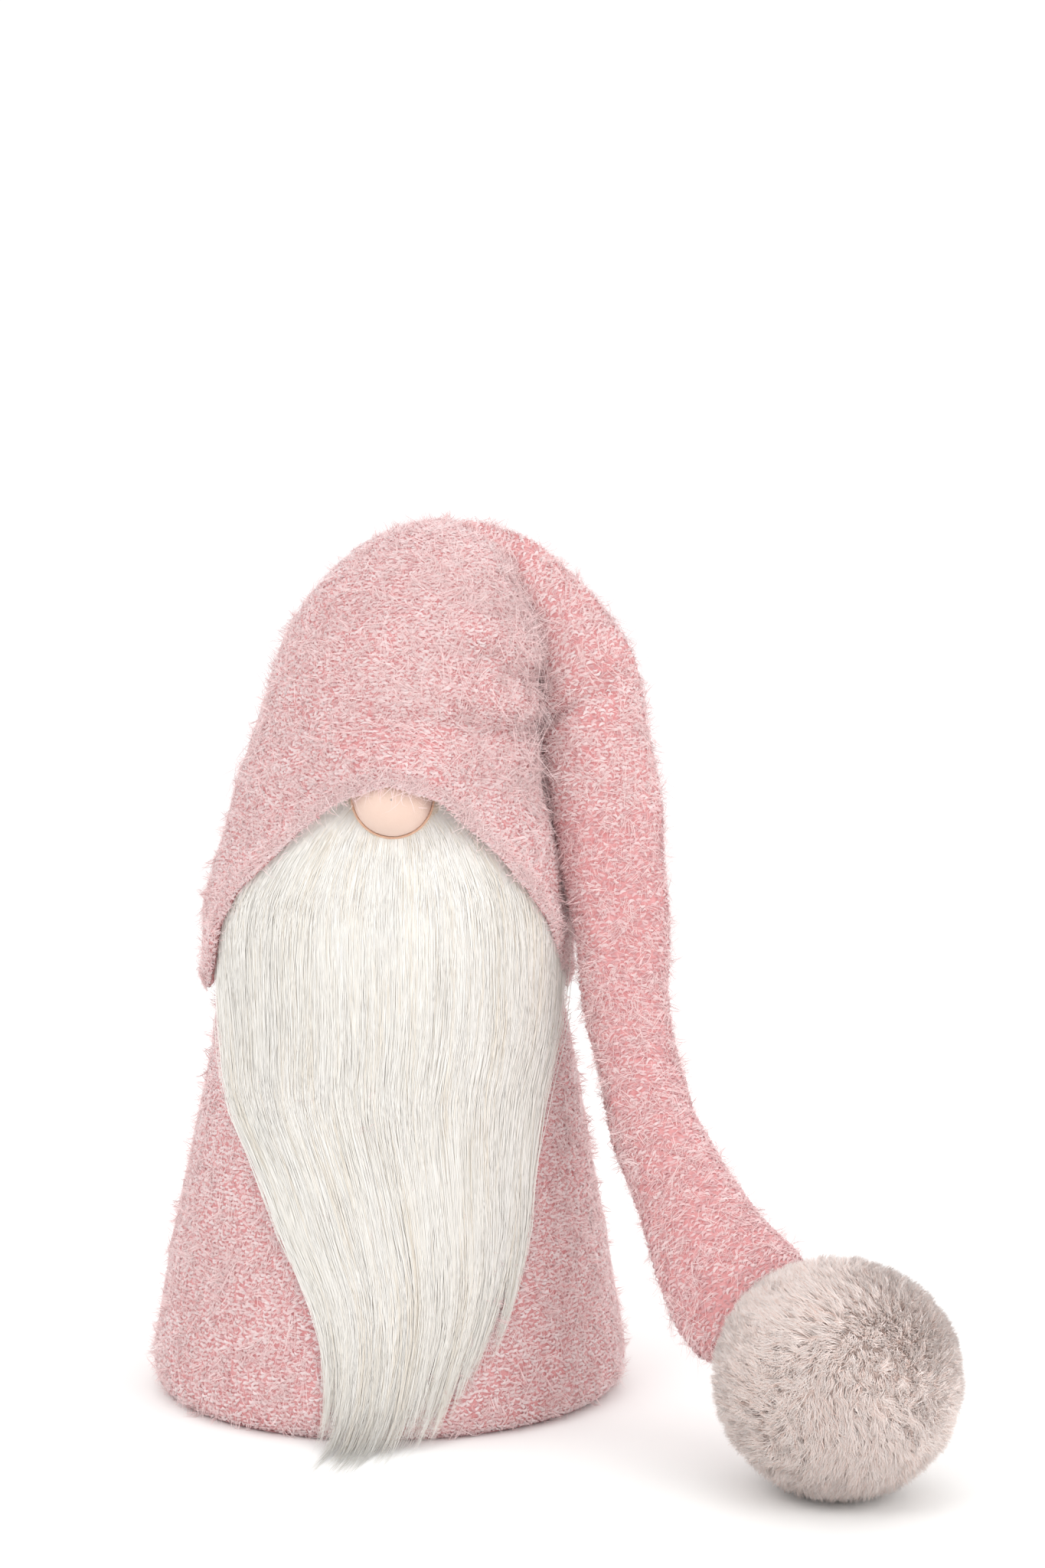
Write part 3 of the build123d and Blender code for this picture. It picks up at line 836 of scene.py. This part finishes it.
def beard_point(across, down, thick):
    """Point of the beard: across in millimetres, down its fall, above the skin.

    Past the foot of the body the hair lies forward on the floor."""
    height = beard_height(down)
    over = np.maximum(FLOOR_BEND - height, 0)
    level = np.maximum(height, FLOOR_BEND)
    radius = body_radius(level) + thick
    centre = lean_at(level)
    depth = np.sqrt(np.maximum(radius ** 2 - np.minimum(np.abs(across - centre), radius - 4) ** 2, 0))
    sink = FLOOR_BEND * (1 - np.exp(-over / 10))
    z = level - sink + 0.22 * thick * (1 - np.exp(-over / 8)) * np.exp(-over / 60) + 0.4
    y = -depth - over * (1 - np.exp(-over / 16))
    return np.stack([across, y, np.maximum(z, 0.5)], axis=-1)


def beard_across(share, down):
    """Across position of a share from the left edge (0) to the right edge (1)."""
    height = beard_height(down)
    left, right = beard_left(height), beard_right(height)
    return left + (right - left) * share


def beard_bulge(share, down):
    """Extra depth of the fur at its sides, where it fills the space under the cap's edge."""
    side = np.clip((np.abs(share - 0.5) * 2 - 0.45) / 0.4, 0, 1)
    return 6.5 * side * np.exp(-((beard_height(down) - 318) / 52) ** 2)


def beard_attach(piece):
    """Bakes a piece's placement into its points."""
    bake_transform(piece)


def make_beard():
    """Under-fur on its backing, then locks of long straight hair."""
    under = surface_material("beard_under", linear(241, 233, 219), linear(234, 223, 205), 120,
                             rough=0.8, fine=700, bump=0.3, spots=0.8)
    share, down = np.meshgrid(np.linspace(0, 1, 90), np.linspace(10, UNDERFUR_END, 150))
    closing = np.clip(np.minimum(share, 1 - share) / 0.07, 0, 1) ** 0.5
    ending = np.clip((UNDERFUR_END - down) / 60, 0, 1) ** 0.7
    thick = 1.0 + (1.0 + 2.4 * np.clip((down - 70) / 130, 0, 1)) * closing * ending
    thick = thick + beard_bulge(share, down) * closing
    squeeze = 0.5 + (share - 0.5) * (0.97 - 0.6 * np.clip((down - UNDERFUR_END + 130) / 130, 0, 1))
    front = beard_point(beard_across(squeeze, down), down, thick)
    mass = make_mesh("beard_underfur", front, grid_faces(*share.shape, False), [under])
    beard_attach(mass)
    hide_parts("beard_top_fur", "beard_fall_fur", "beard_top_backing", "beard_fall_backing")

    locks, per_lock, steps, wisps = 1500, 20, 9, 17
    lock_share = RNG.uniform(0.0, 1.0, locks)
    lock_start = np.where(RNG.uniform(0, 1, locks) < 0.4, RNG.uniform(0, 30, locks),
                          RNG.uniform(0, 1, locks) ** 0.9 * 250)
    lock_length = RNG.uniform(160, 260, locks)
    far = np.clip((lock_share - 0.45) / 0.55, 0, 1)
    lowest = 474 - 110 * far ** 1.2 - 26 * np.clip(0.3 - lock_share, 0, 1) / 0.3
    wisp_share = np.linspace(0.02, 0.98, wisps) + RNG.normal(0, 0.012, wisps)
    lock_wisp = np.argmin(np.abs(lock_share[:, None] - wisp_share[None, :]), axis=1)
    lowest = lowest + RNG.normal(0, 9, wisps)[lock_wisp]
    lowest = lowest + 6 - np.abs(RNG.normal(0, 1, locks)) * (22 + 24 * far)
    lock_end = np.minimum(lock_start + lock_length, lowest)
    lock_end = np.maximum(lock_end, lock_start + 60)
    lock_level = RNG.uniform(0, 1, locks)
    wave_size = RNG.normal(0, 2.6, locks)
    wave_start = RNG.uniform(0, 2 * math.pi, locks)

    own = np.repeat(np.arange(locks), per_lock)
    count = len(own)
    spread = RNG.normal(0, 1, count)
    begin = lock_start[own] + RNG.normal(0, 9, count)
    begin = np.maximum(begin, 4)
    finish = lock_end[own] + RNG.normal(0, 13, count)
    level = lock_level[own] + RNG.normal(0, 0.08, count)
    path = []
    for part in np.linspace(0, 1, steps):
        down = begin + (finish - begin) * part
        pull = 0.95 * np.clip((down - lowest[own]) / WISP_LONG + 1, 0, 1)
        drawn = lock_share[own] * (1 - pull) + wisp_share[lock_wisp[own]] * pull
        across = beard_across(np.clip(drawn, 0.01, 0.99), down)
        wide = 3.8 - 3.3 * part ** 1.6
        across = across + spread * wide
        across = across + wave_size[own] * np.sin(down / 55 + wave_start[own]) * part
        across = across + RNG.normal(0, 0.9, count) * part
        body = 3.0 + 3.8 * np.clip(level, 0, 1.2) * (0.35 + 0.65 * np.clip((down - 60) / 120, 0, 1))
        thick = 1.5 + body * math.sin(math.pi * (0.12 + 0.70 * part))
        thick = thick + beard_bulge(lock_share[own], down)
        from_nose = np.hypot(across - NOSE[0], beard_height(down) - NOSE[2])
        thick = thick * np.clip((from_nose - NOSE_RADIUS - 1) / 14, 0, 1)
        path.append(beard_point(across, down, thick))
    path = np.stack(path, axis=1)
    outward = unit(path * np.array([1, 1, 0]) + np.array([0, -30, 12]))
    facing = unit(outward[:, steps // 2] + 0.12 * RNG.normal(0, 1, (count, 3)))
    shades = [0.5, 0.36, 0.14]
    tints = np.where(RNG.uniform(0, 1, count) < 0.6, RNG.choice(3, locks, p=shades)[own],
                     RNG.choice(3, count, p=shades))
    widths = RNG.uniform(0.3, 0.6, count)
    order = np.argsort(lock_share[own], kind="stable")
    for index, part in enumerate(in_parts(count, MAX_LONG_HAIRS)):
        pick = order[part]
        hair = strands(f"beard_hair_{index + 1}", path[pick], widths[pick], facing[pick],
                       BEARD_HAIR, tints[pick], outward[pick])
        beard_attach(hair)


def sphere_points(count):
    """Even spread of unit directions over a ball."""
    index = np.arange(count) + 0.5
    z = 1 - 2 * index / count
    turn = math.pi * (1 + 5 ** 0.5) * index
    ring = np.sqrt(1 - z * z)
    return np.stack([ring * np.cos(turn), ring * np.sin(turn), z], axis=1)


def make_pompom():
    """Backing ball and dense tufted fur, flattened a little and resting on the floor."""
    core_radius = POMPOM_RADIUS - 12
    count, tufts, steps = 84000, 1900, 3
    core_material = surface_material("pompom_under", linear(245, 229, 222), linear(236, 214, 205), 110,
                                     fine=600, bump=0.5, spots=0.8)
    turn, tilt = np.meshgrid(np.linspace(0, 2 * math.pi, 96, endpoint=False),
                             np.linspace(0.01, math.pi - 0.01, 64))
    way = np.stack([np.sin(tilt) * np.cos(turn), np.sin(tilt) * np.sin(turn), np.cos(tilt)], -1)
    lumps = core_radius + 2 + 1.2 * ripple(way[..., 0] * 70, way[..., 1] * 70 + way[..., 2] * 50, 31,
                                           low=0.05, high=0.15)
    flat = np.array([1, 1, POMPOM_FLAT])
    core = make_mesh("pompom_underfur", POMPOM + way * lumps[..., None] * flat,
                     grid_faces(*turn.shape, True)[:, ::-1], [core_material])
    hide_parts("pompom_fur")
    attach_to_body(core, "pompom")

    root = sphere_points(count)
    tuft = unit(sphere_points(tufts) + RNG.normal(0, 0.03, (tufts, 3)))
    own = np.concatenate([np.argmax(part @ tuft.T, axis=1) for part in np.array_split(root, 8)])
    swirl = np.stack([ripple(tuft[:, (i + 1) % 3] * 70, tuft[:, (i + 2) % 3] * 70, 41 + i,
                             low=0.02, high=0.06) for i in range(3)], axis=1)
    swirl = swirl - tuft * (swirl * tuft).sum(1, keepdims=True)
    swirl = swirl + 0.28 * RNG.normal(0, 1, (tufts, 3)) + np.array([0, 0, -0.2])
    tuft_length = RNG.uniform(11.0, 15.0, tufts) - 3.0 * tuft[:, 2].clip(-1, 0)
    lay = swirl[own] + 0.35 * RNG.normal(0, 1, (tufts, 3))[own] + 0.3 * RNG.normal(0, 1, (count, 3))
    lay = unit(lay - root * (lay * root).sum(1, keepdims=True))
    path = []
    start = POMPOM + root * core_radius * flat
    tuft_root = POMPOM + tuft * core_radius * flat
    for part in np.linspace(0, 1, steps):
        gather = 0.45 * part ** 1.5
        base = start * (1 - gather) + tuft_root[own] * gather
        rise = root * (tuft_length[own] * part * (1 - 0.18 * part))[:, None]
        lean = lay * (8.0 * part ** 1.2)
        path.append(base + rise + lean + RNG.normal(0, 0.8, (count, 3)) * part)
    path = np.stack(path, axis=1)
    path[..., 2] = np.maximum(path[..., 2], FLOOR_CLEAR)
    shading = unit(root + 0.15 * lay)
    tints = RNG.choice(3, count, p=[0.4, 0.4, 0.2])
    widths = RNG.uniform(0.5, 0.85, count)
    for index, part in enumerate(in_parts(count, MAX_SPIKES)):
        fur = spikes(f"pompom_hair_{index + 1}", path[part], widths[part], POMPOM_HAIR, tints[part],
                     shading[part])
        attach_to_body(fur, "pompom")


def dress_cad_nodes():
    """Materials for the CAD pieces that stay: thread, board, base cloth, bag, fillings."""
    white, shade = linear(240, 238, 234), linear(222, 219, 212)
    thread = surface_material("thread", linear(214, 160, 162), linear(190, 130, 134), 300, bump=0.6)
    tan = surface_material("nose_thread_tan", linear(232, 194, 170), linear(222, 178, 150), 300, bump=0.6)
    looks = {
        "body_filling": surface_material("fibre_filling", white, shade, 60),
        "base_panel": weave_material("base_weave", linear(222, 184, 184), linear(206, 160, 161), 1.4),
        "base_board": surface_material("grey_board", linear(176, 160, 138), linear(160, 142, 120), 80),
        "weight_bag": weave_material("bag_weave", linear(226, 222, 212), linear(210, 204, 192), 0.9),
        "weight_granules": surface_material("granules", linear(206, 205, 200), linear(170, 168, 162), 400),
        "nose_filling": surface_material("nose_fibre", white, shade, 60),
        "pompom_backing": weave_material("pompom_weave", linear(214, 196, 188), linear(196, 176, 168), 1.0),
        "pompom_filling": surface_material("pompom_fibre", white, shade, 60),
        "nose_thread": tan,
    }
    for name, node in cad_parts.items():
        material = looks.get(name, thread)
        node.data.materials.clear()
        node.data.materials.append(material)


make_camera()
make_studio()
make_body()
make_head()
make_hat()
make_tail()
make_nose()
make_beard()
make_pompom()
dress_cad_nodes()
